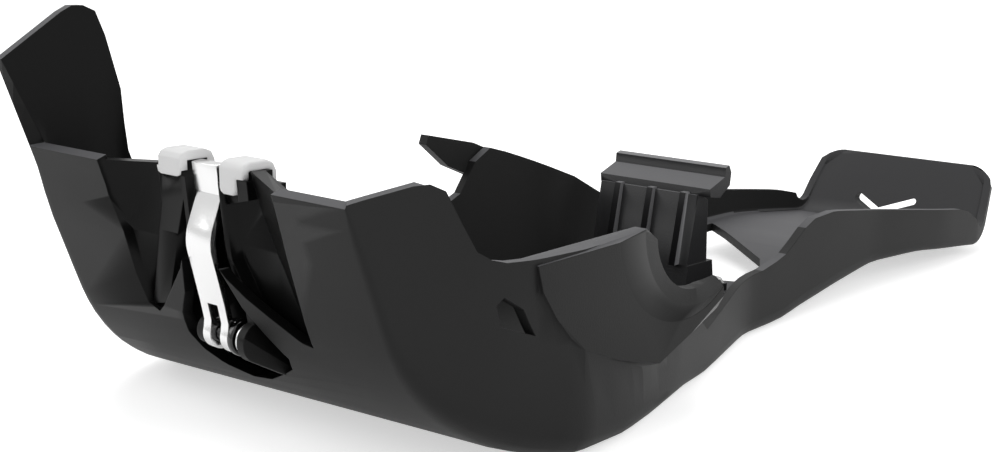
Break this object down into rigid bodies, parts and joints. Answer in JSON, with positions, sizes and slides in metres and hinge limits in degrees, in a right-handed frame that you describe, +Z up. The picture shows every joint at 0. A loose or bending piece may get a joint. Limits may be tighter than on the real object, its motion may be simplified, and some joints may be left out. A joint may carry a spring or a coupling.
{
  "type": "motorcycle skid plate",
  "caption": "Black moulded motorcycle skid plate with a steel over-centre lever at the front and a ribbed hook at the rear.",
  "frame": {"origin": "on the flat belly's underside, on the bike's middle plane, halfway between the front rim and the tail plate's top edge", "axes": "+X rearwards along the bike, +Y to the bike's right, +Z up"},
  "size_m": [0.618, 0.2626, 0.1771],
  "materials": {
    "shell_plastic": "fine-grained satin polyethylene",
    "hook_plastic": "coarse-grained matt polyamide",
    "lever_steel": "bright brushed strap",
    "pin_black": "gloss black",
    "clip_steel": "bright",
    "pad_rubber": "smooth light grey",
    "bolt_steel": "zinc plated"
  },
  "bodies": {
    "guard": {"skid_shell": "shell_plastic", "hook_bracket": "hook_plastic", "latch_pin": "pin_black", "pin_clip": "clip_steel", "pad_left": "pad_rubber", "pad_right": "pad_rubber", "bracket_bolts": "bolt_steel"},
    "lever": {"latch_lever": "lever_steel"}
  },
  "joints": [
    {"name": "lever_hinge", "type": "hinge", "parent": "guard", "child": "lever", "pos_m": [-0.276, 0, 0.045], "axis": [0, 1, 0], "range_deg": [-70, 0]}
  ]
}
